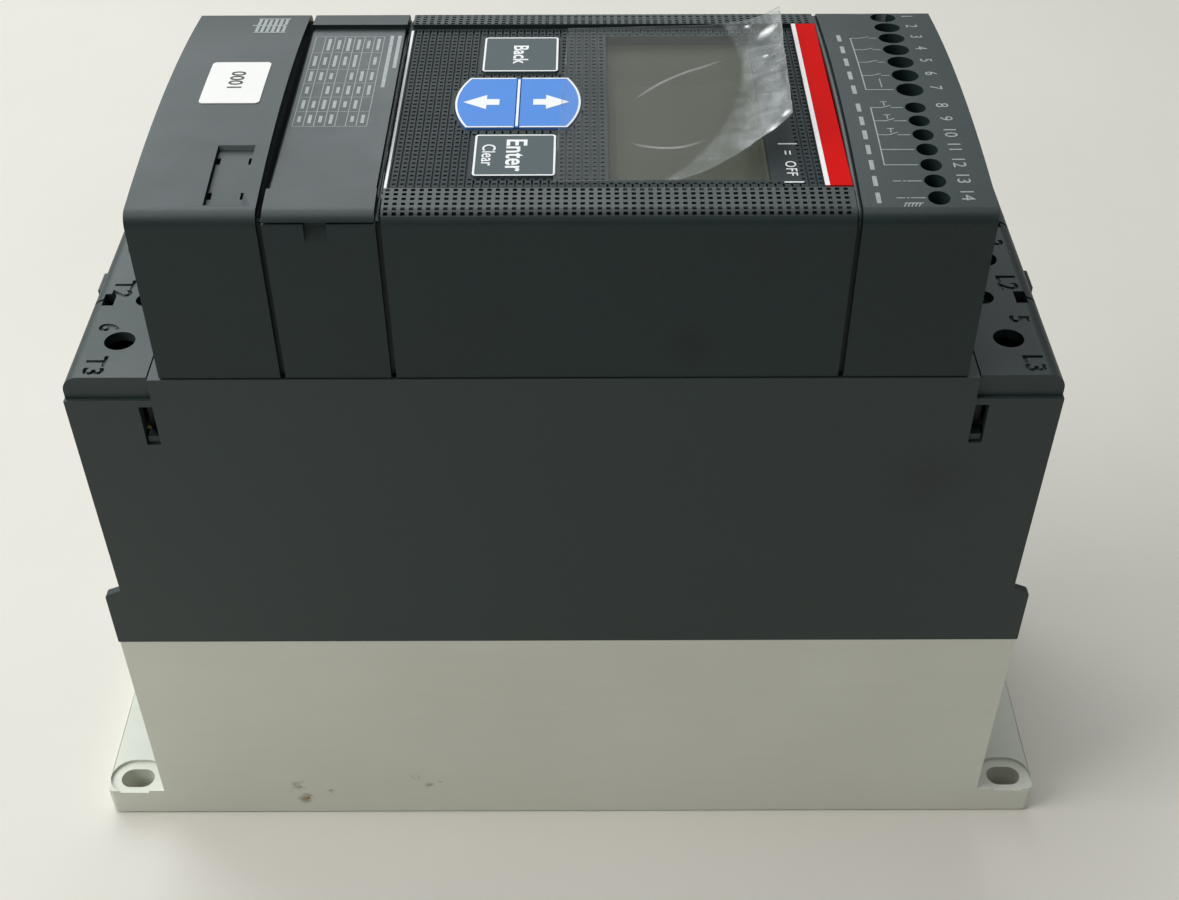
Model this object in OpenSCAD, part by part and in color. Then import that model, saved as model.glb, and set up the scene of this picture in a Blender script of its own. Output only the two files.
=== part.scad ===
// Soft starter for a three-phase motor, two phases controlled, lying on its back.
// X runs from the load end (minus) to the line end (plus), Y across the width, Z from the wall to the front.
// All sizes are in millimetres. The origin is the middle of the back plane.

/* [Overall size] */
// Length of the mounting flange along X
flange_len = 245; // [242:1:252]
// Width of the device along Y
body_w = 90; // [90:1:96]
// Depth from the wall to the crest of the front along Z
body_d = 185; // [182:1:192]

/* [Heat sink] */
// Length of the heat sink body
sink_len = 215; // [212:1:216]
// Height of the heat sink, where the housing sits
sink_h = 65.8; // [64:0.2:67]
// Thickness of the foot flange
flange_t = 8.8; // [7:0.2:9.2]
// Thickness of the side walls
sink_wall = 4; // [3:0.5:4.5]
// Thickness of the deck under the power modules
deck_t = 12; // [9:0.5:13]
// Number of cooling fins
fin_count = 11; // [7:1:13]
// Thickness of one fin
fin_t = 2.2; // [1.6:0.1:2.6]
// Length of the foot plates under the fins
foot_len = 24; // [22:1:30]
// Distance of the mounting slots from the ends of the flange
slot_end = 7; // [6.5:0.25:8]
// Distance of the mounting slots from the long sides
slot_margin = 5; // [5:0.5:7]
// Width of a mounting slot
slot_w = 6; // [5.5:0.5:6.5]
// Length of a mounting slot, end to end
slot_len = 8.7; // [8:0.1:9]
// Depth of the spot face round a slot
spot_depth = 0.8; // [0.4:0.1:1.2]

/* [Fans] */
// Space left beside the pair of fans
fan_space = 2; // [1:0.2:6]
// Thickness of a fan frame
fan_t = 20; // [18:1:22]
// Thinnest wall of a fan frame round its bore
fan_rim = 1.2; // [1.2:0.1:2.5]
// Diameter of the fan hub
hub_d = 17; // [15:0.5:19]
// Diameter of the fan shaft
shaft_d = 3; // [2.5:0.1:3.5]
// Number of fan blades
blade_count = 7; // [5:1:9]

/* [Main housing] */
// Height of the housing above the heat sink
housing_h = 78; // [77.4:0.2:79]
// Length of the housing under the terminal covers
housing_len = 209.2; // [208.6:0.2:211]
// Length of the housing over the ears at its foot
skirt_len = 215.8; // [215:0.2:219]
// Height of the ears
skirt_h = 15.5; // [12:0.1:18]
// Thickness of the ears
ear_t = 2; // [1.5:0.1:2.4]
// Drop of the terminal ledges below the housing top
ledge_drop = 5.4; // [5:0.1:6]
// Wall thickness of the mouldings
wall = 2.5; // [2:0.1:2.6]
// Width of a side latch slot
latch_w = 2.9; // [2.5:0.1:3.2]
// Height of a side latch slot
latch_h = 10.2; // [9:0.2:12]

/* [Power terminals] */
// Distance of the outer phases from the sides
phase_margin = 14; // [14:0.2:15]
// Diameter of the screwdriver holes
access_d = 6.6; // [6.2:0.1:8]
// Space between two terminal clamps
clamp_space = 14; // [13:0.2:14.6]
// Height of a terminal clamp
clamp_h = 26; // [24:0.5:27]
// Side wall of a terminal clamp beside its busbar
clamp_side = 2.2; // [2.2:0.1:3.2]
// Thickness of a busbar
bar_t = 3; // [2:0.2:3.4]

/* [Front cover] */
// Length of the front cover
front_len = 167.2; // [166.4:0.2:168]
// Rise of the crown across the front
crown_rise = 2.8; // [2.2:0.1:3]
// Radius of the long front edges
shoulder_r = 3; // [2.5:0.1:3.4]
// Width of the grooves between the blocks
groove_w = 1.1; // [0.8:0.1:1.2]
// Depth of the grooves
groove_depth = 1.3; // [0.8:0.1:1.5]
// Depth of the keypad and label panels below the crest
panel_drop = 2.8; // [2.6:0.1:3]
// Width of the keypad and label panels
panel_w = 72; // [71:0.5:73]

/* [Keypad] */
// Side of the two square keys
key_side = 16.4; // [15:0.2:17.2]
// Length of the pair of arrow keys
arrow_len = 26.4; // [25:0.2:28]
// Width of the pair of arrow keys
arrow_w = 21.8; // [20:0.2:22.2]
// Height of the keys above the panel
key_rise = 0.4; // [0.3:0.1:0.5]
// Travel of a key
key_travel = 0.6; // [0.4:0.1:0.7]
// Length of the display window along X
window_len = 31.6; // [30:0.2:32.4]
// Width of the display window along Y
window_w = 63; // [60:0.2:64]

/* [Control terminals] */
// Diameter of the screwdriver holes over the relay terminals
relay_hole_d = 5.7; // [5:0.1:5.7]
// Diameter of the screwdriver holes over the signal terminals
signal_hole_d = 4.3; // [4:0.1:5]
// Distance between the two rows of terminals
pole_gap = 7.7; // [7.4:0.1:8.2]

/* [Film] */
// Radius of the bend where the film lifts
film_bend = 36; // [32:1:42]
// Thickness of the film
film_t = 0.25; // [0.15:0.05:0.3]

/* [Hidden] */
$fn = 48;
half_w = body_w / 2;
slot_pitch_x = flange_len - 2 * slot_end;
slot_pitch_y = body_w - 2 * slot_margin;
phase_pitch = half_w - phase_margin;
clamp_w = phase_pitch - clamp_space;
slip = 0.3;
fit_gap = 0.15;
running_gap = 0.05;
past = 1;
crown_fn = 720;

// levels along Z
top_z = sink_h + housing_h;
ledge_z = top_z - ledge_drop;
shelf_rise = 35;
shelf_z = sink_h + shelf_rise;
front_z0 = top_z + slip;
panel_z = body_d - panel_drop;
panel_t = 2;
panel_low = panel_z - panel_t;
roof_z = panel_low - 1.6;
label_seat = panel_z - 1.9;
board_drop = 14.8;
board_top = panel_z - board_drop;
board_t = 1.6;

// heat sink and fans
corner_r = 1.5;
spot_margin = 2.6;
fin_lift = 3;
fin_inset = 2;
fan_room = 5;
channel_w = body_w - 2 * sink_wall;
fin_pitch = channel_w / (fin_count + 1);
fan_size = (channel_w - fan_space) / 2;
fan_bore = fan_size - 2 * fan_rim;
fan_x = -sink_len / 2 + 1;
fin_x0 = fan_x + fan_t + fan_room;
fan_y = fan_size / 2 + fit_gap;
fan_z = flange_t + fan_size / 2;
fan_lip_z = flange_t + fan_size + slip;
strut_t = 3;
strut_w = 2.4;
rotor_front = 2.4;
tip_gap = 0.7;
blade_mid = [10.4, -0.7];
blade_bow = 16;
blade_start = -8;
blade_chord = 13;
blade_t = 1.1;

// main housing
end_draft = 0.8;
waist_x = housing_len / 2 - end_draft;
ear_slope = 1.7;
ear_r = 1.2;
room_x = housing_len / 2 - 0.4 - wall;
room_y = half_w - wall;
partition_t = 2.4;
partition_x = front_len / 2 + 2.6;
latch_z1 = ledge_z - 1.6;
latch_z0 = latch_z1 - latch_h;
latch_x = partition_x + latch_w / 2 + 0.1;
shelf_t = 2.5;
barrier_t = 2.4;
barrier_y = phase_pitch / 2;
boss_x = partition_x + 5.6;
boss_r = 4.8;
boss_floor = sink_h + 5;
window_half = clamp_w / 2 - 1;

// fixings
house_screw_r = 2;
house_head_r = 3.5;
house_head_h = 3.4;
screw_depth = 8;
module_screw_r = 2.4;
module_head_r = 4.2;
module_head_h = 3;

// terminal clamps
access_x = (partition_x + room_x) / 2 + 0.7;
clamp_len = room_x - partition_x - 1.8;
clamp_x0 = access_x - clamp_len / 2;
clamp_floor = 2;
bar_slip = 0.3;
clamp_open_w = clamp_w - 2 * clamp_side;
bar_w = clamp_open_w - 2 * bar_slip;
clamp_roof = 8;
clamp_screw_r = 4;
clamp_head_r = 5.4;
clamp_head_h = 5.6;
hex_r = 2.9;

// power parts
module_y = phase_pitch - 2;
module_len = 92;
module_lug = 7;
module_base_w = 25;
module_base_t = 5;
module_body_len = module_len - 2 * module_lug;
module_h = 30;
relay_len = 48;
relay_w = 24;
relay_h = 24;
power_z = sink_h + module_h + relay_h;
bar_z = shelf_z + clamp_floor;
bar_end = clamp_x0 + clamp_len - 0.5;
bar_foot = 12;
foot_x1 = module_body_len / 2;
foot_x0 = foot_x1 - bar_foot;
ct_x = -75;
ct_len = 12;
ct_r = room_y - phase_pitch - 0.4;
ct_slip = 1;
ct_hole_r = bar_w / 2 + ct_slip;

// terminal covers
cover_x0 = partition_x + slip;
cover_x1 = housing_len / 2 - 0.2;
cover_y = half_w - 1;
cover_r = 3.5;
cover_t = 2.2;
cover_low = ledge_z + 0.1;
barrier_slot_x = cover_x1 - 4.1;
barrier_slot_len = 2.6;
barrier_slot_w = 4.5;
slit_w = 0.8;
tab_out = 0.8;
tab_w = 6.9;
tab_y1 = -0.6;
tab_y0 = tab_y1 - tab_w;
arm_t = 1;
arm_y = room_y - 1.6;
hook_out = 3.4;
hook_h = 1.6;

// front cover
front_y = half_w - 0.3;
groove_x = [-57.9, -35, 57.2];
keypad_x1 = groove_x[2] - groove_w / 2;
label_x0 = groove_x[0] + groove_w / 2;
label_x1 = groove_x[1] - groove_w / 2;
label_step = 0.4;
keypad_lip = 0.6;
keypad_x0 = label_x1 + keypad_lip;
ledge_in = 2;
post_r = 3;
post_x = [-73, 60];
post_y = front_y - wall - 4;
clip_x0 = -49.4;
clip_x1 = -45;
clip_h = 4.3;
port_x = -65;
port_len = 20;
port_margin = 3.5;
port_y = -(front_y - port_margin - port_len / 2);
port_w = 7.4;
port_floor = body_d - 4.7;
port_sink = 1;
port_notch_w = 0.9;
port_notch_len = 2.2;
port_notch_y = 5.8;

// keypad
key_x = -9.5;
key_mid_y = 22.2;
key_r = 0.8;
web = 0.7;
key_slip = 0.15;
arrow_bow = 23;
key_flange = 1.2;
key_flange_t = 1.2;
key_flange_z = panel_low - slip - key_flange_t;
stem_r = 2.5;
switch_side = 6;
switch_h = 4.3;
switch_pin_r = 1.7;
switch_pin_h = 0.8;
stem_z = board_top + switch_h + switch_pin_h + key_travel + 0.1;
window_x = 25.2;
strip_x0 = 51.2;
strip_h = 1.1;

// control terminals
pole_x = 72.7;
pole_room = front_y - wall - 0.2;
relay_y0 = 0.3;
signal_y0 = pole_gap - relay_y0;
pole_y6 = pole_room - 2.4;
relay_y = [for (i = [0:6]) relay_y0 + i * (pole_y6 - relay_y0) / 6];
signal_y = [for (i = [0:6]) -signal_y0 - i * (pole_y6 - signal_y0) / 6];
block_back = 8.2;
block_x0 = pole_x - block_back;
block_x1 = front_len / 2 - wall - 0.2;
block_edge = 2.9;
block_h = roof_z - board_top - 0.4;
wire_z = board_top + 4.8;
wire_r = 1.5;
wire_slot_h = 5.5;
terminal_screw_r = 1.8;
terminal_well_r = 1.9;
well_depth = 4;
wire_depth = 9;
terminal_screw_h = 2.2;
driver_slot_w = 0.5;
driver_slot_h = 0.8;

// boards and their link
control_x0 = -front_len / 2 + wall + 1;
control_x1 = front_len / 2 - wall - 0.5;
control_y = front_y - wall - 0.5;
power_x0 = -60;
power_x1 = partition_x - partition_t - 2;
power_y = room_y - 1;
ribbon_x = -48;
ribbon_w = 24;
ribbon_t = 1.2;
socket_len = 6;
socket_h = 6;

// film
film_z = panel_z + key_rise + slip;
film_x0 = [-1.6, 0.8];
film_y0 = [-33.4, 34];
fold_near = [23.3, -33];
fold_far = [30.2, 35.4];
film_near = [46, -18.5];
film_far = [48.3, 35.4];
fold_turn = atan2(fold_far[0] - fold_near[0], fold_far[1] - fold_near[1]);

// sticker
sticker_mid = [-69.3, 4.6];
sticker_size = [12.6, 19];
sticker_r = 1;
sticker_t = 0.15;

// general shapes
// a box between two corners
module span(a, b) { translate(a) cube(b - a); }
// a flat (x, z) outline drawn out along Y, centred
module along_y(len) { rotate([90, 0, 0]) linear_extrude(height = len, center = true) children(); }
// a flat (y, z) outline drawn out along X
module along_x(x0, x1) {
  translate([x0, 0, 0]) rotate([90, 0, 90]) linear_extrude(height = x1 - x0) children();
}
// a rounded rectangle about the middle
module rounded(len, wid, r) {
  square([len - 2 * r, wid], center = true);
  square([len, wid - 2 * r], center = true);
  for (a = [-1, 1], b = [-1, 1]) translate([a * (len / 2 - r), b * (wid / 2 - r)]) circle(r);
}
module both_ends() { children(); mirror([1, 0, 0]) children(); }
module both_sides() { children(); mirror([0, 1, 0]) children(); }

// heat sink
module slot_shape(grow) {
  square([slot_len - slot_w, slot_w + 2 * grow], center = true);
  for (a = [-1, 1]) translate([a * (slot_len - slot_w) / 2, 0]) circle(slot_w / 2 + grow);
}

module fins() {
  for (i = [1:fin_count])
    translate([fin_x0, -channel_w / 2 + i * fin_pitch - fin_t / 2, fin_lift])
      cube([sink_len / 2 - fin_inset - fin_x0, fin_t, sink_h - deck_t / 2 - fin_lift]);
}

module heat_sink() {
  color("silver") difference() {
    union() {
      span([-sink_len / 2, -half_w, sink_h - deck_t], [sink_len / 2, half_w, sink_h]);
      both_sides() span([-sink_len / 2, half_w - sink_wall, 0], [sink_len / 2, half_w, sink_h]);
      both_ends() translate([flange_len / 2 - (flange_len - sink_len + 2 * foot_len) / 4, 0, 0])
        linear_extrude(height = flange_t) rounded((flange_len - sink_len) / 2 + foot_len, body_w, corner_r);
      span([-sink_len / 2, -half_w + 1, fan_lip_z], [fin_x0, half_w - 1, sink_h - deck_t / 2]);
      fins();
    }
    for (a = [-1, 1], b = [-1, 1]) translate([a * slot_pitch_x / 2, b * slot_pitch_y / 2, 0]) {
      translate([0, 0, -past]) linear_extrude(height = flange_t + 2 * past) slot_shape(0);
      translate([0, 0, flange_t - spot_depth])
        linear_extrude(height = spot_depth + past) slot_shape(spot_margin);
    }
    for (a = [-1, 1], b = [-1, 1]) {
      translate([a * boss_x, b * barrier_y, sink_h - screw_depth])
        cylinder(r = house_screw_r + running_gap, h = screw_depth + past);
      translate([a * (module_len - module_lug) / 2, b * module_y, sink_h - screw_depth])
        cylinder(r = module_screw_r + running_gap, h = screw_depth + past);
    }
  }
}

// fans, drawn with the axis along Z from the outer face, then laid along X
module fan_place(side) { translate([fan_x, side * fan_y, fan_z]) rotate([0, 90, 0]) children(); }

module fan_frame() {
  color("dimgray") {
    difference() {
      linear_extrude(height = fan_t) rounded(fan_size, fan_size, corner_r);
      translate([0, 0, -past]) cylinder(d = fan_bore, h = fan_t + 2 * past);
      for (a = [-1, 1], b = [-1, 1]) translate([a * (fan_size / 2 - 4), b * (fan_size / 2 - 4), -past])
        cylinder(d = 3.2, h = fan_t + 2 * past);
    }
    translate([0, 0, fan_t - strut_t]) cylinder(d = hub_d, h = strut_t);
    for (a = [45:90:315]) rotate(a) translate([0, -strut_w / 2, fan_t - strut_t])
      cube([fan_bore / 2 + 1, strut_w, strut_t]);
    translate([0, 0, rotor_front + 1.6]) cylinder(d = shaft_d, h = fan_t - strut_t - rotor_front - 1);
  }
}

// one curved blade, cut from the wall of a tube that lies along the radius
module fan_blade() {
  intersection() {
    cylinder(d = fan_bore - 2 * tip_gap, h = fan_t);
    along_x(hub_d / 2 - 0.6, fan_bore / 2) intersection() {
      translate(blade_mid) difference() {
        circle(blade_bow);
        circle(blade_bow - blade_t);
      }
      translate([blade_start, rotor_front + 1]) square([blade_chord, fan_t - strut_t - rotor_front - 2.6]);
    }
  }
}

module fan_rotor() {
  color("black") difference() {
    union() {
      translate([0, 0, rotor_front]) cylinder(d = hub_d, h = fan_t - strut_t - rotor_front - 0.4);
      for (i = [0:blade_count - 1]) rotate(i * 360 / blade_count) fan_blade();
    }
    translate([0, 0, rotor_front + 1.4]) cylinder(d = shaft_d + 2 * running_gap, h = fan_t);
  }
}

module fan_frame_1() { fan_place(-1) fan_frame(); }
module fan_frame_2() { fan_place(1) fan_frame(); }
module fan_rotor_1() { fan_place(-1) fan_rotor(); }
module fan_rotor_2() { fan_place(1) fan_rotor(); }

// main housing
module housing_outline() {
  polygon([[-waist_x, sink_h], [waist_x, sink_h], [housing_len / 2, ledge_z], [partition_x, ledge_z],
    [partition_x, top_z], [-partition_x, top_z], [-partition_x, ledge_z], [-housing_len / 2, ledge_z]]);
}

// a thin ear at the foot of the housing, in the plane of its side wall, with a sloping top and a round shoulder
module foot_ear() {
  tilt = atan2(ear_slope, skirt_len / 2 - waist_x);
  root_x = waist_x - 1;
  mid_x = skirt_len / 2 - ear_r;
  mid_z = sink_h + skirt_h + ear_r * tan(tilt) - ear_r / cos(tilt);
  translate([0, half_w - ear_t / 2, 0]) along_y(ear_t) {
    polygon([[root_x, sink_h], [skirt_len / 2, sink_h], [skirt_len / 2, mid_z], [mid_x, mid_z],
      [mid_x + ear_r * sin(tilt), mid_z + ear_r * cos(tilt)],
      [root_x, sink_h + skirt_h + (skirt_len / 2 - root_x) * tan(tilt)]]);
    translate([mid_x, mid_z]) circle(ear_r);
  }
}

// the partition that closes one end of the middle room
module end_partition() {
  span([partition_x - partition_t, -room_y - 0.1, shelf_z - shelf_t], [partition_x, room_y + 0.1, top_z]);
}

// what is cut out of one terminal end: cable windows, busbar slots and latch slots
module terminal_cuts() {
  for (p = [-1:1]) {
    span([room_x - past, p * phase_pitch - window_half, bar_z + 0.5],
      [skirt_len / 2 + past, p * phase_pitch + window_half, shelf_z + clamp_h - clamp_roof + 1]);
    span([partition_x - partition_t - past, p * phase_pitch - bar_w / 2 - 1, bar_z - 1],
      [partition_x + past, p * phase_pitch + bar_w / 2 + 1, bar_z + bar_t + 2]);
  }
  both_sides()
    span([latch_x - latch_w / 2, room_y - past, latch_z0], [latch_x + latch_w / 2, half_w + past, latch_z1]);
}

module main_housing() {
  color("darkslategray") difference() {
    union() {
      difference() {
        along_y(body_w) housing_outline();
        span([-room_x, -room_y, sink_h - past], [room_x, room_y, top_z + past]);
      }
      both_ends() {
        end_partition();
        both_sides() foot_ear();
      }
    }
    both_ends() terminal_cuts();
  }
}

// a tray in each end of the housing: shelf for the clamps, phase barriers and the bosses for the housing screws
module line_terminal_tray() {
  color("dimgray") difference() {
    intersection() {
      union() {
        span([0, -body_w, shelf_z - shelf_t], [skirt_len, body_w, shelf_z]);
        both_sides() {
          span([0, barrier_y - barrier_t / 2, shelf_z - 0.1],
            [skirt_len, barrier_y + barrier_t / 2, ledge_z - 1]);
          translate([boss_x, barrier_y, sink_h]) cylinder(r = boss_r, h = ledge_z - 1 - sink_h);
        }
      }
      span([partition_x + fit_gap, -room_y + fit_gap, sink_h], [room_x - fit_gap, room_y - fit_gap, top_z]);
    }
    both_sides() {
      translate([boss_x, barrier_y, boss_floor]) cylinder(r = house_head_r + 0.5, h = housing_h);
      translate([boss_x, barrier_y, sink_h - past]) cylinder(r = house_screw_r + 0.2, h = housing_h);
    }
  }
}

module load_terminal_tray() { mirror([1, 0, 0]) line_terminal_tray(); }

module housing_screws() {
  color("lightsteelblue") for (a = [-1, 1], b = [-1, 1])
    translate([a * boss_x, b * barrier_y, boss_floor]) difference() {
    union() {
      cylinder(r = house_head_r, h = house_head_h);
      translate([0, 0, -screw_depth + sink_h - boss_floor + 0.5])
        cylinder(r = house_screw_r, h = screw_depth + boss_floor - sink_h);
    }
    translate([0, 0, house_head_h - 2]) cylinder(r = 1.7, h = 3, $fn = 6);
  }
}

// clip-on covers over the power terminals
module cover_outline() {
  translate([cover_x0, cover_low]) square([cover_x1 - cover_r - cover_x0, top_z - cover_low]);
  translate([cover_x0, cover_low]) square([cover_x1 - cover_x0, top_z - cover_r - cover_low]);
  intersection() {
    translate([cover_x1 - cover_r, top_z - cover_r]) circle(cover_r);
    translate([cover_x0, cover_low]) square([2 * cover_x1, ledge_drop]);
  }
}

module cover_arm() {
  span([latch_x - latch_w / 2 + slip, arm_y - arm_t, latch_z0 + slip],
    [latch_x + latch_w / 2 - slip, arm_y, top_z - cover_t + 0.1]);
  span([latch_x - latch_w / 2 + slip, arm_y - arm_t, latch_z0 + slip],
    [latch_x + latch_w / 2 - slip, arm_y + hook_out, latch_z0 + slip + hook_h]);
}

module line_terminal_cover() {
  color("darkslategray") {
    difference() {
      union() {
        along_y(2 * cover_y) cover_outline();
        span([cover_x1 - 1, tab_y0, cover_low], [cover_x1 + tab_out, tab_y1, top_z - cover_r + 0.6]);
      }
      span([cover_x0 + cover_t, -cover_y + cover_t, cover_low - past],
        [cover_x1 - cover_t, cover_y - cover_t, top_z - cover_t]);
      for (p = [-1:1]) translate([access_x, p * phase_pitch, ledge_z])
        cylinder(d = access_d, h = ledge_drop + past);
      both_sides() {
        translate([boss_x, barrier_y, ledge_z]) cylinder(r = house_head_r - 0.9, h = ledge_drop + past);
        span([barrier_slot_x - barrier_slot_len / 2, barrier_y - barrier_slot_w / 2, ledge_z],
          [barrier_slot_x + barrier_slot_len / 2, barrier_y + barrier_slot_w / 2, top_z + past]);
        span([barrier_slot_x, barrier_y - slit_w / 2, cover_low - past],
          [cover_x1 + past, barrier_y + slit_w / 2, top_z + past]);
      }
    }
    both_sides() cover_arm();
  }
}

module load_terminal_cover() { mirror([1, 0, 0]) line_terminal_cover(); }

// front cover: the section across Y, pulled in by d on every side
module front_section(d) {
  crown_r = (front_y * front_y + crown_rise * crown_rise) / (2 * crown_rise);
  edge_y = front_y - shoulder_r;
  edge_z = body_d - crown_r + sqrt(crown_r * crown_r - edge_y * edge_y) - shoulder_r;
  intersection() {
    union() {
      translate([-edge_y, front_z0]) square([2 * edge_y, body_d - front_z0 + past]);
      translate([-front_y + d, front_z0]) square([2 * (front_y - d), edge_z - front_z0]);
      for (a = [-1, 1]) translate([a * edge_y, edge_z]) circle(shoulder_r - d);
    }
    translate([0, body_d - crown_r]) circle(crown_r - d, $fn = crown_fn);
  }
}

module front_shell() {
  difference() {
    along_x(-front_len / 2, front_len / 2) front_section(0);
    span([-front_len / 2 + wall, -front_y + wall, front_z0 - past],
      [front_len / 2 - wall, front_y - wall, roof_z]);
  }
  for (x = post_x, s = [-1, 1]) translate([x, s * post_y, board_top])
    cylinder(r = post_r, h = roof_z - board_top + 0.2);
}

module front_grooves() {
  for (g = groove_x) along_x(g - groove_w / 2, g + groove_w / 2) difference() {
    translate([-body_w, front_z0 - past]) square([2 * body_w, body_d]);
    front_section(groove_depth);
  }
}

// the sunk seats for the keypad, the label cover and the blank over the port
module front_seats() {
  span([keypad_x0, -panel_w / 2, panel_low], [keypad_x1 + past / 2, panel_w / 2, body_d + past]);
  span([keypad_x0 + ledge_in, -panel_w / 2 + ledge_in, roof_z - past],
    [keypad_x1 - ledge_in, panel_w / 2 - ledge_in, body_d]);
  span([label_x0 - past / 2, -body_w, label_seat], [label_x1 + past / 2, body_w, body_d + past]);
  both_sides() translate([clip_x0, front_y, label_seat - clip_h]) rotate([90, 0, 90])
    linear_extrude(height = clip_x1 - clip_x0)
      polygon([[0, 0], [past, 0], [past, clip_h + past], [-1.2, clip_h + past], [-1.2, clip_h - 1]]);
  span([port_x - port_w / 2, port_y - port_len / 2, port_floor],
    [port_x + port_w / 2, port_y + port_len / 2, body_d + past]);
}

module front_holes() {
  for (y = relay_y) translate([pole_x, y, roof_z - past]) cylinder(d = relay_hole_d, h = body_d);
  for (y = signal_y) translate([pole_x, y, roof_z - past]) cylinder(d = signal_hole_d, h = body_d);
  for (y = [[relay_y[0] - 1, relay_y[6] + 1], [signal_y[6] - 1, signal_y[0] + 1]])
    span([front_len / 2 - wall - past, y[0], wire_z - wire_slot_h / 2],
      [front_len / 2 + past, y[1], wire_z + wire_slot_h / 2]);
}

module front_cover() {
  color("darkslategray") difference() {
    front_shell();
    front_grooves();
    front_seats();
    front_holes();
  }
}

module label_cover() {
  x0 = label_x0 + fit_gap;
  x1 = label_x1 - fit_gap;
  color("darkslategray") difference() {
    intersection() {
      along_x(x0, x1) front_section(0);
      span([x0, -body_w, label_seat], [x1, body_w, body_d + past]);
    }
    span([x0 - past, -panel_w / 2, panel_z], [x1 + past, panel_w / 2, body_d + past]);
    for (x = [x0, x1]) span([x - label_step, -panel_w / 2, label_seat + 0.5],
      [x + label_step, panel_w / 2, body_d + past]);
    both_sides() span([x0 - past, front_y - 0.9, label_seat - past], [x1 + past, body_w, label_seat + 0.4]);
  }
}

// the blank follows the crown a little below it
module port_cover() {
  color("darkslategray") intersection() {
    along_x(port_x - port_w, port_x + port_w) front_section(port_sink);
    translate([port_x, port_y, port_floor]) linear_extrude(height = body_d) difference() {
      square([port_w - 2 * fit_gap, port_len - 2 * fit_gap], center = true);
      for (a = [-1, 1], b = [-1, 1]) translate([a * port_w / 2, b * port_notch_y])
        square([2 * port_notch_w, port_notch_len], center = true);
    }
  }
}

// keypad: the outlines of the keys, grown by g on every side
module square_key_shape(side, g) {
  translate([key_x, side * key_mid_y]) rounded(key_side + 2 * g, key_side + 2 * g, key_r + g);
}

module arrow_key_shape(side, g, web_half) {
  intersection() {
    translate([key_x, -arrow_w / 2 - g]) mirror([side > 0 ? 0 : 1, 0]) translate([web_half, 0])
      square([arrow_len, arrow_w + 2 * g]);
    translate([key_x + side * (arrow_len / 2 - arrow_bow), 0]) circle(arrow_bow + g, $fn = 120);
  }
}

module panel_openings() {
  for (s = [-1, 1]) {
    square_key_shape(s, key_slip);
    arrow_key_shape(s, key_slip, web / 2);
  }
  translate([window_x, 0]) square([window_len + 2 * fit_gap, window_w + 2 * fit_gap], center = true);
}

module keypad_panel() {
  color("black") translate([0, 0, panel_low]) linear_extrude(height = panel_t) difference() {
    translate([keypad_x0 + fit_gap, -panel_w / 2 + fit_gap])
      square([keypad_x1 - keypad_x0 - fit_gap, panel_w - 2 * fit_gap]);
    panel_openings();
  }
}

// a key: cap through the panel, collar under it, stem over its switch
module key_stack(mid) {
  translate([0, 0, key_flange_z]) linear_extrude(height = panel_z + key_rise - key_flange_z) children(0);
  translate([0, 0, key_flange_z]) linear_extrude(height = key_flange_t) children(1);
  translate([mid[0], mid[1], stem_z]) cylinder(r = stem_r, h = key_flange_z - stem_z + 0.1);
}

arrow_mid = arrow_len / 4;
module square_key(side) {
  color("slategray") key_stack([key_x, side * key_mid_y]) {
    square_key_shape(side, 0);
    square_key_shape(side, key_flange);
  }
}
module exit_key() { square_key(1); }
module select_key() { square_key(-1); }
module up_key() {
  color("royalblue") key_stack([key_x + arrow_mid, 0]) {
    arrow_key_shape(1, 0, web / 2 + key_slip);
    arrow_key_shape(1, key_flange, web / 2 + key_slip);
  }
}
module down_key() {
  color("royalblue") key_stack([key_x - arrow_mid, 0]) {
    arrow_key_shape(-1, 0, web / 2 + key_slip);
    arrow_key_shape(-1, key_flange, web / 2 + key_slip);
  }
}

module key_switches() {
  color("dimgray") for (m = [[0, key_mid_y], [0, -key_mid_y], [arrow_mid, 0], [-arrow_mid, 0]])
    translate([key_x + m[0], m[1], board_top]) {
      translate([-switch_side / 2, -switch_side / 2, 0]) cube([switch_side, switch_side, switch_h]);
      cylinder(r = switch_pin_r, h = switch_h + switch_pin_h);
    }
}

module lcd_module() {
  color("darkolivegreen") difference() {
    span([window_x - window_len / 2 - 1.8, -window_w / 2 - 2, board_top],
      [window_x + window_len / 2 + 1.8, window_w / 2 + 2, panel_low - 0.2]);
    span([window_x - window_len / 2 + 2, -window_w / 2 + 2, board_top - past],
      [window_x + window_len / 2 - 2, window_w / 2 - 2, board_top + 4]);
  }
}

module lcd_window() {
  color("lightgray", 0.5) span([window_x - window_len / 2, -window_w / 2, panel_low - 0.2],
    [window_x + window_len / 2, window_w / 2, panel_z]);
}

module type_strip() {
  color("red") span([strip_x0, -panel_w / 2 + 0.4, panel_z],
    [keypad_x1 - 0.1, panel_w / 2 - 0.4, panel_z + strip_h]);
}

// film: flat over the display, then bent up on a round past a slanting fold
module film_plan() {
  polygon([[film_x0[0], film_y0[0]], fold_near, film_near, film_far, fold_far, [film_x0[1], film_y0[1]]]);
}

// the film's section across the fold: flat before it, a round after it
module film_section() {
  translate([-body_w, 0]) square([body_w, film_t]);
  intersection() {
    translate([0, film_bend]) difference() {
      circle(film_bend, $fn = 240);
      circle(film_bend - film_t, $fn = 240);
    }
    square(film_bend);
  }
}

module protective_film() {
  color("white", 0.4) intersection() {
    translate([0, 0, film_z - past]) linear_extrude(height = film_bend) film_plan();
    translate([fold_near[0], fold_near[1], film_z]) rotate(-fold_turn) rotate([90, 0, 0])
      linear_extrude(height = 4 * body_w, center = true) film_section();
  }
}

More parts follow.
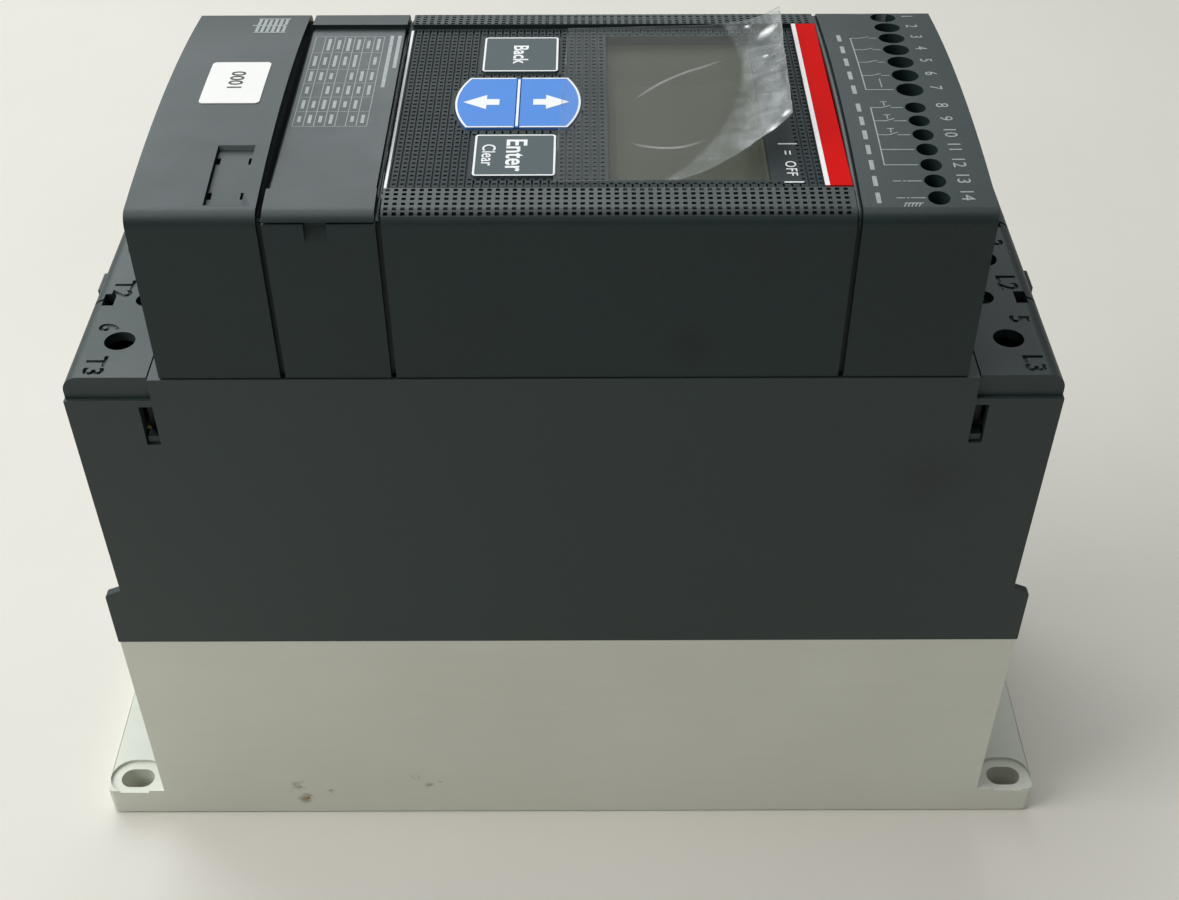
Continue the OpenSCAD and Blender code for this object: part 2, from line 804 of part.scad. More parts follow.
module asset_sticker() {
  crown_r = (front_y * front_y + crown_rise * crown_rise) / (2 * crown_rise);
  color("white") intersection() {
    translate([sticker_mid[0], sticker_mid[1], body_d - 3]) linear_extrude(height = 6)
      rounded(sticker_size[0], sticker_size[1], sticker_r);
    along_x(-front_len / 2, front_len / 2) translate([0, body_d - crown_r]) difference() {
      circle(crown_r + sticker_t, $fn = crown_fn);
      circle(crown_r, $fn = crown_fn);
    }
  }
}

// boards and control terminals
module control_board() {
  color("darkgreen") span([control_x0, -control_y, board_top - board_t], [control_x1, control_y, board_top]);
}

module terminal_block(y0, y1, poles) {
  color("dimgray") difference() {
    span([block_x0, y0, board_top], [block_x1, y1, board_top + block_h]);
    for (y = poles) {
      translate([pole_x, y, board_top + block_h - well_depth])
        cylinder(r = terminal_well_r, h = well_depth + past);
      translate([block_x1 - wire_depth, y, wire_z]) rotate([0, 90, 0])
        cylinder(r = wire_r, h = wire_depth + past);
    }
  }
}

module relay_terminal_block() { terminal_block(relay_y[0] - block_edge, pole_room, relay_y); }
module signal_terminal_block() { terminal_block(-pole_room, signal_y[0] + block_edge, signal_y); }

module control_terminal_screws() {
  color("lightsteelblue") for (y = concat(relay_y, signal_y))
    translate([pole_x, y, board_top + block_h - well_depth]) difference() {
      cylinder(r = terminal_screw_r, h = terminal_screw_h);
      translate([-terminal_well_r, -driver_slot_w / 2, terminal_screw_h - driver_slot_h])
        cube([2 * terminal_well_r, driver_slot_w, driver_slot_h + past]);
    }
}

module power_board() {
  color("darkgreen") span([power_x0, -power_y, power_z], [power_x1, power_y, power_z + board_t]);
}

module ribbon_cable() {
  color("lightgray") span([ribbon_x - ribbon_t / 2, -ribbon_w / 2, power_z + board_t + socket_h],
    [ribbon_x + ribbon_t / 2, ribbon_w / 2, board_top - board_t - socket_h]);
}

module ribbon_sockets() {
  color("black") for (z = [power_z + board_t, board_top - board_t - socket_h])
    span([ribbon_x - socket_len / 2, -ribbon_w / 2 - 2, z],
      [ribbon_x + socket_len / 2, ribbon_w / 2 + 2, z + socket_h]);
}

// power parts; phase -1 is the near one, 1 the far one
module clamp(phase) {
  color("goldenrod") translate([clamp_x0, phase * phase_pitch, shelf_z]) difference() {
    translate([0, -clamp_w / 2, 0]) cube([clamp_len, clamp_w, clamp_h]);
    translate([-past, -clamp_open_w / 2, clamp_floor])
      cube([clamp_len + 2 * past, clamp_open_w, clamp_h - clamp_floor - clamp_roof]);
    translate([clamp_len / 2, 0, clamp_h - clamp_roof - past])
      cylinder(r = clamp_screw_r + running_gap, h = clamp_roof + 2 * past);
  }
}

module line_clamp_1() { clamp(1); }
module line_clamp_2() { clamp(0); }
module line_clamp_3() { clamp(-1); }
module load_clamp_1() { mirror([1, 0, 0]) clamp(1); }
module load_clamp_2() { mirror([1, 0, 0]) clamp(0); }
module load_clamp_3() { mirror([1, 0, 0]) clamp(-1); }

module clamp_screws() {
  color("lightsteelblue") for (e = [-1, 1], p = [-1:1])
    translate([e * access_x, p * phase_pitch, shelf_z + clamp_h]) difference() {
      union() {
        cylinder(r = clamp_head_r, h = clamp_head_h);
        translate([0, 0, -clamp_roof + 1]) cylinder(r = clamp_screw_r, h = clamp_roof);
      }
      translate([0, 0, clamp_head_h - 4]) cylinder(r = hex_r, h = 5, $fn = 6);
    }
}

module thyristor_module(side) {
  color("dimgray") translate([0, side * module_y, sink_h]) difference() {
    union() {
      translate([-module_len / 2, -module_base_w / 2, 0]) cube([module_len, module_base_w, module_base_t]);
      translate([-module_body_len / 2, -module_base_w / 2 + 0.5, 0])
        cube([module_body_len, module_base_w - 1, module_h]);
    }
    for (a = [-1, 1]) translate([a * (module_len - module_lug) / 2, 0, -past])
      cylinder(r = module_screw_r + running_gap, h = module_base_t + 2 * past);
  }
}

module thyristor_module_1() { thyristor_module(1); }
module thyristor_module_2() { thyristor_module(-1); }

module module_screws() {
  color("lightsteelblue") for (a = [-1, 1], s = [-1, 1])
    translate([a * (module_len - module_lug) / 2, s * module_y, sink_h + module_base_t]) {
      intersection() {
        cylinder(r = module_head_r, h = module_head_h);
        mirror([a > 0 ? 0 : 1, 0, 0]) translate([fit_gap - module_lug / 2, -module_head_r, 0])
          cube([2 * module_head_r, 2 * module_head_r, module_head_h]);
      }
      translate([0, 0, -module_base_t - screw_depth + 0.5])
        cylinder(r = module_screw_r, h = module_base_t + screw_depth);
    }
}

module bypass_relay(side) {
  color("gray") translate([-relay_len / 2, side * module_y - relay_w / 2, sink_h + module_h])
    cube([relay_len, relay_w, relay_h]);
}

module bypass_relay_1() { bypass_relay(1); }
module bypass_relay_2() { bypass_relay(-1); }

// a bar from a module terminal up and out to the clamp
module busbar(phase) {
  color("peru") translate([0, phase * phase_pitch, 0]) along_y(bar_w)
    polygon([[foot_x0, sink_h + module_h], [foot_x1, sink_h + module_h], [foot_x1, bar_z], [bar_end, bar_z],
      [bar_end, bar_z + bar_t], [foot_x1 - bar_t, bar_z + bar_t], [foot_x1 - bar_t, sink_h + module_h + bar_t],
      [foot_x0, sink_h + module_h + bar_t]]);
}

module line_busbar_1() { busbar(1); }
module line_busbar_3() { busbar(-1); }
module load_busbar_1() { mirror([1, 0, 0]) busbar(1); }
module load_busbar_3() { mirror([1, 0, 0]) busbar(-1); }
module link_busbar() { color("peru") span([-bar_end, -bar_w / 2, bar_z], [bar_end, bar_w / 2, bar_z + bar_t]); }

module current_transformer(phase) {
  color("black") translate([ct_x - ct_len / 2, phase * phase_pitch, bar_z + bar_t / 2]) rotate([0, 90, 0])
    difference() {
      cylinder(r = ct_r, h = ct_len);
      translate([0, 0, -past]) cylinder(r = ct_hole_r, h = ct_len + 2 * past);
    }
}

module current_transformer_1() { current_transformer(1); }
module current_transformer_2() { current_transformer(0); }
module current_transformer_3() { current_transformer(-1); }

heat_sink();
fan_frame_1();
fan_frame_2();
fan_rotor_1();
fan_rotor_2();
main_housing();
line_terminal_tray();
load_terminal_tray();
housing_screws();
line_terminal_cover();
load_terminal_cover();
front_cover();
label_cover();
port_cover();
keypad_panel();
exit_key();
select_key();
up_key();
down_key();
key_switches();
lcd_module();
lcd_window();
type_strip();
protective_film();
asset_sticker();
control_board();
relay_terminal_block();
signal_terminal_block();
control_terminal_screws();
power_board();
ribbon_cable();
ribbon_sockets();
line_clamp_1();
line_clamp_2();
line_clamp_3();
load_clamp_1();
load_clamp_2();
load_clamp_3();
clamp_screws();
thyristor_module_1();
thyristor_module_2();
module_screws();
bypass_relay_1();
bypass_relay_2();
line_busbar_1();
line_busbar_3();
load_busbar_1();
load_busbar_3();
link_busbar();
current_transformer_1();
current_transformer_2();
current_transformer_3();
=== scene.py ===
"""Soft starter for a three-phase motor: finishes, dotted front, prints, lifted film, floor, lamps and camera."""
from math import atan2, cos, pi, radians, sin, sqrt

import bmesh
import bpy
from mathutils import Matrix, Vector, noise


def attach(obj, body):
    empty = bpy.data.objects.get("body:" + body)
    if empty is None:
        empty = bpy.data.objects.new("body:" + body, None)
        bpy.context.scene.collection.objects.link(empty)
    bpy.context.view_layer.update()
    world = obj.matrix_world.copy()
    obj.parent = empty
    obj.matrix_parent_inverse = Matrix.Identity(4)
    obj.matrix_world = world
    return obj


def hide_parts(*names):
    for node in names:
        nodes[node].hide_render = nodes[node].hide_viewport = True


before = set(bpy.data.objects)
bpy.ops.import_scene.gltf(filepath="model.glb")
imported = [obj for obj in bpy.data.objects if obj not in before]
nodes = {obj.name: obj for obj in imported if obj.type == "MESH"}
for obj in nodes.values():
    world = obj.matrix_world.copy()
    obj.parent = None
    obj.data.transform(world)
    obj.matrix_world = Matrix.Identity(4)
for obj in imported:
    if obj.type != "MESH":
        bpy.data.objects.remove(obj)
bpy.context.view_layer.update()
MM = 0.001
X, Y, Z = 0, 1, 2


def extent(node, axis):
    """Lowest and highest place of a CAD node along an axis, in millimetres to two places."""
    places = [v.co[axis] / MM for v in nodes[node].data.vertices]
    return round(min(places), 2), round(max(places), 2)


# levels and places of the solids, in millimetres
NEAR_Y = extent("main_housing", Y)[0]
HALF_FRONT = extent("front_cover", Y)[1]
CREST = extent("front_cover", Z)[1]
PANEL_Z = extent("keypad_panel", Z)[1]
KEY_TOP = extent("exit_key", Z)[1]
KEY_X = sum(extent("exit_key", X)) / 2  # middle of all keys along the starter
KEY_ROW = sum(extent("exit_key", Y)) / 2  # middle of a grey key across the starter
COVER_TOP = extent("line_terminal_cover", Z)[1]
STRIP_TOP = extent("type_strip", Z)[1]
FILM_Z = extent("protective_film", Z)[0]  # where it lies flat

# places of prints and marks, in millimetres
SLOT_X, SLOT_Y = 115.5, 40.0  # middle of a slot in the feet
CROWN_RISE = 2.8  # from the edges of the front to its middle
SHOULDER = 3.0  # round between the crown and the sides
CROWN_R = (HALF_FRONT ** 2 + CROWN_RISE ** 2) / (2 * CROWN_RISE)
MARK_X = 98.2  # middle of the marks on the terminal covers
DOT_PITCH = 1.64  # of the pits and grooves round the keypad
DOT_ROWS = (36.62, 37.95, 39.4, 40.95, 42.4, 43.5)  # rows of pits, from the middle of the front
GREY_KEY_HALF = 8.2
ARROW_KEY_HALF = 10.9  # across the starter
ARROW_KEY_R, ARROW_KEY_DROP = 23.0, 9.8  # round end of an arrow key, and its centre behind the middle
DISPLAY_FROM, DISPLAY_TO, DISPLAY_HALF = 8.6, 47.2, 32.6  # display with its legend
LINE_X = -34.4  # white line at the end of the keypad
DIVIDER_TOP = PANEL_Z + 0.38  # bar between the arrow keys
STRIP_HALF = 35.58  # prints on the red strip
NUMBER_X = 78.2  # row of numbers beside the control terminals
RELAY_Y = [0.3 + i * 39.3 / 6 for i in range(7)]  # control terminals 7 to 1
SIGNAL_Y = [-7.4 - i * 32.2 / 6 for i in range(7)]  # control terminals 8 to 14
KEY_PRINT, FINE_PRINT, LABEL_PRINT = 0.05, 0.03, 0.02  # thickness of prints
CAP_SHARE = 0.7  # height of capitals in the size of the font
ROUNDED_FROM, SHARP_FROM = 32.0, 28.0  # edge angles in degrees, on plain and on carved mouldings


def crown(y):
    """Height of the crowned front above the back plane, at y across the width."""
    edge = HALF_FRONT - SHOULDER
    if abs(y) <= edge:
        return CREST - CROWN_R + sqrt(CROWN_R ** 2 - y * y)
    run = min(abs(y) - edge, SHOULDER * 0.995)
    return CREST - CROWN_R + sqrt(CROWN_R ** 2 - edge ** 2) - SHOULDER + sqrt(SHOULDER ** 2 - run ** 2)


def crown_tilt(y):
    """Slope angle of the crowned front at y."""
    return atan2(crown(y + 0.05) - crown(y - 0.05), 0.1)


# ---------------------------------------------------------------- finishes
def srgb(r, g, b):
    """A colour as seen on a screen, 0 to 255, as the linear colour that shaders take."""
    seen = (r / 255, g / 255, b / 255)
    return tuple(c / 12.92 if c <= 0.04045 else ((c + 0.055) / 1.055) ** 2.4 for c in seen) + (1.0,)


class Finish:
    """A procedural finish, built node by node on Object coordinates."""

    def __init__(self, name, roughness=0.5, metallic=0.0, specular=0.5):
        self.mat = bpy.data.materials.new(name)
        self.mat.use_nodes = True
        self.tree = self.mat.node_tree
        self.skin = self.tree.nodes["Principled BSDF"]
        self.skin.inputs["Roughness"].default_value = roughness
        self.skin.inputs["Metallic"].default_value = metallic
        self.skin.inputs["Specular IOR Level"].default_value = specular
        self.place = self.tree.nodes.new("ShaderNodeTexCoord").outputs["Object"]

    def node(self, kind, **values):
        """A new node with its settings."""
        made = self.tree.nodes.new(kind)
        for key, value in values.items():
            setattr(made, key, value)
        return made

    def link(self, a, b):
        self.tree.links.new(a, b)

    def feed(self, source, slot):
        """Gives a socket another socket's output, or a plain value."""
        if hasattr(source, "is_output"):
            self.link(source, slot)
        else:
            slot.default_value = source

    def stretch(self, x, y, z):
        """Object coordinates scaled along each axis."""
        made = self.node("ShaderNodeMapping")
        made.inputs["Scale"].default_value = (x, y, z)
        self.link(self.place, made.inputs["Vector"])
        return made.outputs["Vector"]

    def cloud(self, scale, detail=4.0, rough=0.55, source=None):
        """Noise in the solid."""
        made = self.node("ShaderNodeTexNoise")
        made.inputs["Scale"].default_value = scale
        made.inputs["Detail"].default_value = detail
        made.inputs["Roughness"].default_value = rough
        self.link(source or self.place, made.inputs["Vector"])
        return made.outputs["Fac"]

    def spread(self, fac, low, high, to_low, to_high):
        """A value moved smoothly from one range to another."""
        made = self.node("ShaderNodeMapRange")
        made.interpolation_type = "SMOOTHSTEP"
        for key, value in zip(("From Min", "From Max", "To Min", "To Max"), (low, high, to_low, to_high)):
            made.inputs[key].default_value = value
        self.link(fac, made.inputs["Value"])
        return made.outputs["Result"]

    def shades(self, fac, *stops):
        """A colour ramp over a value."""
        made = self.node("ShaderNodeValToRGB")
        ramp = made.color_ramp
        while len(ramp.elements) < len(stops):
            ramp.elements.new(0.5)
        for slot, (at, colour) in zip(ramp.elements, stops):
            slot.position = at
            slot.color = colour
        self.link(fac, made.inputs["Fac"])
        return made.outputs["Color"]

    def mix(self, fac, under, over):
        """One colour laid over another."""
        made = self.node("ShaderNodeMix", data_type="RGBA", blend_type="MIX")
        low, high = [slot for slot in made.inputs if slot.type == "RGBA"]
        self.feed(fac, made.inputs["Factor"])
        self.feed(under, low)
        self.feed(over, high)
        return [slot for slot in made.outputs if slot.type == "RGBA"][0]

    def combine(self, how, a, b):
        """Two values worked into one."""
        made = self.node("ShaderNodeMath", operation=how)
        self.feed(a, made.inputs[0])
        self.feed(b, made.inputs[1])
        return made.outputs["Value"]

    def times(self, a, b):
        return self.combine("MULTIPLY", a, b)

    def plus(self, a, b):
        return self.combine("ADD", a, b)

    def larger(self, a, b):
        return self.combine("MAXIMUM", a, b)

    def gap(self, at, source=None):
        """Distance from a place, given in millimetres."""
        made = self.node("ShaderNodeVectorMath", operation="DISTANCE")
        self.link(source or self.place, made.inputs[0])
        made.inputs[1].default_value = [c * MM for c in at]
        return made.outputs["Value"]

    def spot(self, at, reach, fray=0.0, fray_scale=400.0):
        """1 at a place on the piece, falling to 0 at reach, with a frayed edge; in millimetres."""
        far = self.gap(at)
        if fray:
            far = self.plus(far, self.times(self.cloud(fray_scale, 5), fray * MM))
        return self.spread(far, reach * 0.25 * MM, reach * MM, 1.0, 0.0)

    def colour(self, source):
        self.link(source, self.skin.inputs["Base Color"])

    def rough(self, source):
        self.link(source, self.skin.inputs["Roughness"])

    def relief(self, height, depth):
        """Bumps as high as depth, in millimetres."""
        made = self.node("ShaderNodeBump")
        made.inputs["Strength"].default_value = 1.0
        made.inputs["Distance"].default_value = depth * MM
        self.link(height, made.inputs["Height"])
        self.link(made.outputs["Normal"], self.skin.inputs["Normal"])


def moulded_case(name, deep, light, bloom, side_painted_sheen, top_painted_sheen):
    """Fine-grained moulding with a painted sheen: its specular level is set by which way a face points, high on tops
    and low on upright sides.
    """
    f = Finish(name)
    lie = f.node("ShaderNodeSeparateXYZ")
    f.link(f.node("ShaderNodeNewGeometry").outputs["Normal"], lie.inputs["Vector"])
    # painted sheen: more specular on faces that point up, less on upright sides
    f.link(f.spread(lie.outputs["Z"], 0.25, 0.85, side_painted_sheen, top_painted_sheen), f.skin.inputs["Specular IOR Level"])
    grain = f.cloud(2600, 2)
    haze = f.cloud(22, 5, 0.6)
    tone = f.shades(haze, (0.3, srgb(*deep)), (0.7, srgb(*light)))
    tone = f.mix(f.spread(grain, 0.35, 0.7, 0.0, 0.3), tone, srgb(*bloom))
    for x, z, reach, fade in ((80, 116, 22, 0.45), (26, 153, 14, 0.35), (-12, 161, 12, 0.3)):
        smudge = f.times(f.spot((x, NEAR_Y, z), reach, 14, 90), fade)
        tone = f.mix(smudge, tone, srgb(26, 28, 28))
    f.colour(tone)
    f.rough(f.spread(haze, 0.25, 0.75, 0.4, 0.54))
    f.relief(grain, 0.035)
    return f.mat


def cast_sink():
    """Matt pale metal, faintly clouded, with a rust-brown stain and some flecks low on the near side, and painted
    shade round the slots of its feet.
    """
    f = Finish("matt_sink_metal", metallic=0.2, specular=0.4)
    drawn = f.cloud(900, 3, 0.6, f.stretch(0.06, 1, 1))
    cloud = f.cloud(14, 5)
    tone = f.shades(cloud, (0.3, srgb(214, 217, 205)), (0.7, srgb(222, 225, 214)))
    tone = f.mix(f.spread(drawn, 0.35, 0.7, 0.0, 0.05), tone, srgb(200, 203, 191))
    # painted shade: the metal is darkened round each slot in the feet, where the hollow shades itself
    for x in (-SLOT_X, SLOT_X):
        for y in (-SLOT_Y, SLOT_Y):
            tone = f.mix(f.times(f.spot((x, y, 1.2), 5.2), 0.75), tone, srgb(120, 122, 114))
    fleck = f.spread(f.cloud(520, 6, 0.7), 0.43, 0.56, 0.0, 1.0)
    for x, z, reach, fade in ((-70, 5.7, 3.6, 1.0), (-71.6, 11, 3.6, 0.6), (-73.6, 9.4, 2.6, 0.6),
                              (-63.4, 9.2, 2.6, 0.8), (-37, 10.6, 3.0, 0.7), (-40.4, 14.2, 2.8, 0.5),
                              (-34.4, 12.6, 2.0, 0.7)):
        dirt = f.times(f.spot((x, NEAR_Y, z), reach, 2.0, 500), fleck)
        tone = f.mix(f.times(dirt, fade), tone, srgb(104, 92, 64))
    stain = f.spot((-70.4, NEAR_Y, 5.2), 3.4, 2.2, 260)
    tone = f.mix(f.times(stain, 0.75), tone, srgb(142, 122, 78))
    f.colour(tone)
    f.rough(f.spread(drawn, 0.3, 0.7, 0.52, 0.6))
    f.relief(drawn, 0.003)
    return f.mat


def plain_moulding(name, dark, light, low=0.4, high=0.56, grain_scale=2200, depth=0.02, specular=0.45):
    """Evenly coloured plastic or paper with a fine grain."""
    f = Finish(name, specular=specular)
    grain = f.cloud(grain_scale, 2)
    haze = f.cloud(60, 4)
    tone = f.shades(haze, (0.3, srgb(*dark)), (0.7, srgb(*light)))
    bloom = srgb(*[min(255, c + 10) for c in light])
    f.colour(f.mix(f.spread(grain, 0.4, 0.7, 0.0, 0.2), tone, bloom))
    f.rough(f.spread(haze, 0.25, 0.75, low, high))
    f.relief(grain, depth)
    return f.mat


def worked_metal(name, dark, light, low, high, lines=(1, 1, 1)):
    """Bare metal with fine working lines and a little tarnish."""
    f = Finish(name, metallic=1.0)
    drawn = f.cloud(1400, 3, 0.6, f.stretch(*lines))
    tarnish = f.cloud(120, 5)
    tone = f.shades(tarnish, (0.3, srgb(*dark)), (0.7, srgb(*light)))
    f.colour(tone)
    f.rough(f.spread(drawn, 0.3, 0.7, low, high))
    f.relief(drawn, 0.01)
    return f.mat


def unlit_display():
    """The grey-green face of the display without its light."""
    f = Finish("unlit_display", roughness=0.4, specular=0.2)
    across = f.cloud(18, 2)
    f.colour(f.shades(across, (0.3, srgb(98, 103, 84)), (0.7, srgb(106, 111, 92))))
    f.relief(f.cloud(60, 1), 0.004)
    return f.mat


def clear_window():
    """The clear pane over the display, a little dusty."""
    f = Finish("clear_window", roughness=0.22, specular=0.15)
    dust = f.cloud(700, 4)
    f.colour(f.shades(dust, (0.3, srgb(134, 136, 122)), (0.7, srgb(150, 152, 138))))
    f.skin.inputs["Alpha"].default_value = 0.1
    f.relief(dust, 0.0005)
    return f.mat


def clear_film():
    """Clear sheet: nearly unseen where it lies flat, hazy in streaks past the bend, whitened along its edges, with
    painted highlights in white along its folds and sharp creases.
    """
    f = Finish("clear_film", specular=0.3)
    crease = f.cloud(90, 6, 0.62, f.stretch(1.0, 0.4, 1.0))
    haze = f.cloud(35, 4)
    plan = f.stretch(1.0, 1.0, 0.0)
    axes = f.node("ShaderNodeSeparateXYZ")
    f.link(f.place, axes.inputs["Vector"])
    across, along = axes.outputs["X"], axes.outputs["Y"]

    def reach(x, y):
        """Distance in the plan from a place on the sheet."""
        return f.gap((x, y, 0.0), plan)

    def fold_highlight_arc(x, y, radius, x0, x1, far_y):
        """A soft arc of painted highlight along a fold, between x0 and x1 and nearer than far_y."""
        off = f.combine("SUBTRACT", reach(x, y), radius * MM)
        line = f.spread(f.combine("POWER", off, 2.0), 0.0, 2.5e-7, 1.0, 0.0)
        start = f.spread(across, x0 * MM, (x0 + 5) * MM, 0.0, 1.0)
        end = f.spread(across, (x1 - 7) * MM, x1 * MM, 1.0, 0.0)
        near = f.spread(along, (far_y - 1) * MM, far_y * MM, 1.0, 0.0)
        return f.times(f.times(line, f.times(start, end)), near)

    def painted_highlight(x, y, radius, fray, scale):
        """A frayed white painted highlight where the sheet is sharply creased."""
        frayed = f.times(f.cloud(scale, 5, 0.7, f.stretch(1.0, 0.6, 1.0)), fray * MM)
        return f.spread(f.plus(reach(x, y), frayed), radius * 0.45 * MM, radius * MM, 1.0, 0.0)

    bend = reach(-34.2, 14.8)
    at_bend = f.spread(bend, 71.8 * MM, 73.6 * MM, 0.0, 0.34)
    past_bend = f.spread(bend, 72.5 * MM, 86.0 * MM, 0.0, 0.66)
    lifted = f.plus(at_bend, past_bend)
    # painted highlights: two fold arcs and frayed spots where the sheet is creased turn white and nearly opaque
    far_fold_highlight = f.times(fold_highlight_arc(50.6, -21.4, 41.5, 14.0, 36.0, 30), 0.45)
    near_fold_highlight = f.times(fold_highlight_arc(20.8, -8.0, 12.5, 13.0, 30.0, -14), 0.55)
    fold_highlights = f.larger(far_fold_highlight, near_fold_highlight)
    painted_highlights = painted_highlight(44.6, 25.0, 4.6, 4.2, 260)
    for place in ((42.0, -20.4, 4.2, 4.6, 330), (44.8, -17.2, 2.6, 2.6, 420), (41.0, 31.0, 2.6, 3.0, 380),
                  (43.4, 13.0, 2.6, 3.6, 300)):
        painted_highlights = f.larger(painted_highlights, painted_highlight(*place))
    grey = f.shades(haze, (0.3, srgb(160, 166, 164)), (0.7, srgb(190, 196, 194)))
    f.colour(f.mix(f.larger(fold_highlights, painted_highlights), grey, srgb(250, 251, 251)))

    edge_on = f.node("ShaderNodeLayerWeight")
    edge_on.inputs["Blend"].default_value = 0.25
    rim = f.node("ShaderNodeAttribute", attribute_name="rim").outputs["Fac"]
    body = f.plus(f.times(edge_on.outputs["Facing"], f.spread(lifted, 0.0, 1.0, 0.04, 0.22)), 0.02)
    body = f.plus(body, f.times(lifted, f.spread(crease, 0.4, 0.64, 0.08, 0.54)))
    body = f.plus(body, f.times(f.times(rim, rim), f.spread(lifted, 0.0, 0.6, 0.26, 0.36)))
    # the painted highlights are made nearly opaque
    body = f.plus(body, f.larger(f.times(fold_highlights, 0.3), f.times(painted_highlights, 0.85)))
    f.link(body, f.skin.inputs["Alpha"])
    f.rough(f.spread(haze, 0.3, 0.7, 0.12, 0.24))
    f.relief(crease, 0.12)
    return f.mat


def circuit_board():
    """Green lacquer over a grid of copper tracks."""
    f = Finish("solder_mask", roughness=0.35)
    copper = f.node("ShaderNodeTexBrick")
    copper.inputs["Scale"].default_value = 180
    copper.inputs["Color1"].default_value = srgb(18, 74, 42)
    copper.inputs["Color2"].default_value = srgb(22, 84, 48)
    copper.inputs["Mortar"].default_value = srgb(34, 104, 62)
    copper.inputs["Mortar Size"].default_value = 0.02
    f.link(f.place, copper.inputs["Vector"])
    lacquer = f.spread(f.cloud(300, 3), 0.4, 0.7, 0.0, 0.3)
    f.colour(f.mix(lacquer, copper.outputs["Color"], srgb(14, 60, 34)))
    f.relief(f.cloud(900, 2), 0.02)
    return f.mat


def printed(name, tone, shade):
    """Printed ink."""
    f = Finish(name, roughness=0.5)
    f.colour(f.shades(f.cloud(900, 3), (0.3, srgb(*shade)), (0.7, srgb(*tone))))
    f.relief(f.cloud(4000, 1), 0.004)
    return f.mat


CASE = moulded_case("slate_moulding", (37, 50, 50), (44, 58, 57), (52, 67, 66), 0.42, 0.7)
# the front's moulding is a darker copy of the case moulding with more sheen on its tops: painted shade on its sides
# and painted sheen on its tops
FRONT_SHADED_COPY = moulded_case("front_slate_moulding_shaded_copy", (31, 44, 45), (37, 51, 51), (44, 59, 59), 0.26, 0.72)
SINK = cast_sink()
PANEL = plain_moulding("keypad_overlay", (41, 50, 52), (47, 56, 58), 0.48, 0.6, 2200, 0.02, 0.22)
KEY_GREY = plain_moulding("slate_keys", (78, 90, 93), (85, 97, 100), 0.48, 0.58, 3000, 0.008, 0.18)
KEY_BLUE = plain_moulding("blue_keys", (76, 137, 222), (83, 145, 228), 0.48, 0.58, 3000, 0.008, 0.18)
BLACK = plain_moulding("black_moulding", (24, 25, 26), (31, 32, 33))
BLOCK = plain_moulding("block_moulding", (36, 37, 38), (45, 46, 47))
RELAY = plain_moulding("relay_case", (60, 62, 64), (72, 74, 76))
RED = plain_moulding("red_strip", (206, 14, 14), (216, 20, 18), 0.55, 0.65, 1800, 0.006, 0.04)
PAPER = plain_moulding("sticker_paper", (240, 240, 237), (246, 246, 243), 0.6, 0.72, 1500, 0.015)
RIBBON = plain_moulding("ribbon_cable", (150, 152, 154), (172, 174, 176))
STEEL = worked_metal("zinc_plate", (150, 152, 156), (178, 180, 182), 0.25, 0.4)
BRASS = worked_metal("clamp_brass", (176, 150, 84), (200, 174, 104), 0.28, 0.45)
COPPER = worked_metal("bar_copper", (178, 104, 70), (200, 124, 86), 0.28, 0.45, (0.05, 1, 1))
DISPLAY = unlit_display()
WINDOW = clear_window()
FILM = clear_film()
BOARD = circuit_board()
WHITE = printed("white_print", (247, 249, 249), (238, 241, 242))
PALE = printed("pale_print", (172, 180, 180), (150, 158, 158))
INK = printed("black_print", (28, 28, 30), (40, 40, 42))

NODE_FINISH = (
    (CASE, "main_housing line_terminal_cover load_terminal_cover"),
    (FRONT_SHADED_COPY, "front_cover label_cover port_cover"),
    (SINK, "heat_sink"),
    (PANEL, "keypad_panel"),
    (KEY_GREY, "exit_key select_key"),
    (KEY_BLUE, "up_key down_key"),
    (BLACK, "fan_frame_1 fan_frame_2 fan_rotor_1 fan_rotor_2 ribbon_sockets key_switches"),
    (BLACK, "current_transformer_1 current_transformer_2 current_transformer_3"),
    (BLOCK, "line_terminal_tray load_terminal_tray relay_terminal_block signal_terminal_block"),
    (BLOCK, "thyristor_module_1 thyristor_module_2"),
    (RELAY, "bypass_relay_1 bypass_relay_2"),
    (DISPLAY, "lcd_module"),
    (WINDOW, "lcd_window"),
    (RED, "type_strip"),
    (FILM, "protective_film"),
    (PAPER, "asset_sticker"),
    (BOARD, "control_board power_board"),
    (RIBBON, "ribbon_cable"),
    (STEEL, "housing_screws control_terminal_screws clamp_screws module_screws"),
    (BRASS, "line_clamp_1 line_clamp_2 line_clamp_3 load_clamp_1 load_clamp_2 load_clamp_3"),
    (COPPER, "line_busbar_1 line_busbar_3 load_busbar_1 load_busbar_3 link_busbar"),
)
for finish, names in NODE_FINISH:
    for name in names.split():
        nodes[name].data.materials.clear()
        nodes[name].data.materials.append(finish)


# ---------------------------------------------------------------- making pieces
def piece(name, bm, finish, body="starter", outward=True):
    """A finished piece from a bmesh in millimetres, riding on a body."""
    if outward:
        bmesh.ops.recalc_face_normals(bm, faces=bm.faces)
    bmesh.ops.scale(bm, vec=(MM, MM, MM), verts=bm.verts)
    mesh = bpy.data.meshes.new(name)
    bm.to_mesh(mesh)
    bm.free()
    mesh.materials.append(finish)
    made = bpy.data.objects.new(name, mesh)
    bpy.context.scene.collection.objects.link(made)
    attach(made, body)
    return made


def drop(thing):
    """Removes a helper object and its mesh."""
    mesh = thing.data
    bpy.data.objects.remove(thing)
    bpy.data.meshes.remove(mesh)


def block(bm, low, high):
    """A box between two corners, added to a bmesh."""
    mid = [(a + b) / 2 for a, b in zip(low, high)]
    size = [b - a for a, b in zip(low, high)]
    bmesh.ops.create_cube(bm, size=1.0, matrix=Matrix.Translation(mid) @ Matrix.Diagonal((*size, 1.0)))


